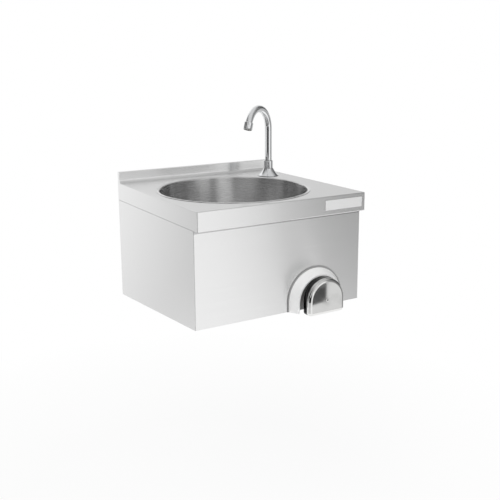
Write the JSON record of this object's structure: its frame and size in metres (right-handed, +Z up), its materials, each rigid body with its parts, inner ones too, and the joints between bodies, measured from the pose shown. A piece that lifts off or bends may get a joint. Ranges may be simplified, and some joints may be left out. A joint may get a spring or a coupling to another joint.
{
  "type": "wall-hung hand wash sink",
  "caption": "Wall-hung stainless steel hand wash sink with a round bowl, low upstand, swivelling swan-neck spout and a knee-pushed valve in the front panel.",
  "frame": {"origin": "middle of the two wall screw holes, on the face of the wall", "axes": "+X along the front from left to right, +Y into the wall, +Z up"},
  "size_m": [0.4, 0.4304, 0.4392],
  "materials": {
    "brushed_sheet": "fine horizontal brushing, satin",
    "bowl_steel": "pressed and satin polished",
    "mill_steel": "plain mill finish",
    "nameplate_metal": "satin, left bare",
    "tap_chrome": "bright chrome plating",
    "polished_steel": "mirror polished stainless steel",
    "fastener_steel": "bright stainless steel",
    "spring_steel": "drawn stainless wire",
    "supply_steel": "smooth drawn tube",
    "cast_brass": "as cast",
    "turned_brass": "machined",
    "black_rubber": "matte moulded rubber",
    "waste_plastic": "fine moulded grain",
    "white_plastic": "moulded"
  },
  "bodies": {
    "basin": {"worktop": "brushed_sheet", "casing": "brushed_sheet", "bowl": "bowl_steel", "wall_rail": "mill_steel", "rear_crossbar": "mill_steel", "nameplate": "nameplate_metal", "tap_base": "tap_chrome", "swivel_collar": "tap_chrome", "knee_shroud": "polished_steel", "waste_strainer": "fastener_steel", "waste_screw": "fastener_steel", "shank_plate": "fastener_steel", "shroud_screws": "fastener_steel", "inlet_filters": "fastener_steel", "return_spring": "spring_steel", "supply_tube": "supply_steel", "valve_body": "cast_brass", "shank_nut": "turned_brass", "supply_nuts": "turned_brass", "panel_nut": "turned_brass", "valve_bonnet": "turned_brass", "valve_cap": "turned_brass", "inlet_nipples": "turned_brass", "waste_top_gasket": "black_rubber", "waste_bottom_gasket": "black_rubber", "deck_gasket": "black_rubber", "shank_washer": "black_rubber", "supply_seals": "black_rubber", "shroud_gasket": "black_rubber", "panel_seal": "black_rubber", "stem_seal": "black_rubber", "waste_body": "waste_plastic", "spout_bush": "white_plastic", "check_valves": "white_plastic"},
    "spout": {"spout_tube": "tap_chrome", "spout_foot": "turned_brass", "spout_seals": "black_rubber", "spout_clip": "fastener_steel", "aerator_housing": "tap_chrome", "aerator_washer": "black_rubber", "aerator_insert": "white_plastic"},
    "knee_control": {"knee_pad": "polished_steel", "pad_screw": "fastener_steel", "push_stem": "fastener_steel", "plunger_washer": "black_rubber", "plunger_disc": "fastener_steel", "plunger_screw": "fastener_steel"}
  },
  "joints": [
    {"name": "knee_push", "type": "slide", "parent": "basin", "child": "knee_control", "axis": [0, 1, 0], "range_m": [0, 0.008], "stiffness_N_per_m": 1500, "springref_m": -0.008, "deforming": ["return_spring"]},
    {"name": "spout_swivel", "type": "hinge", "parent": "basin", "child": "spout", "pos_m": [0.148, -0.096, 0.08], "axis": [0, 0, 1], "range_deg": [-77, 196]}
  ]
}
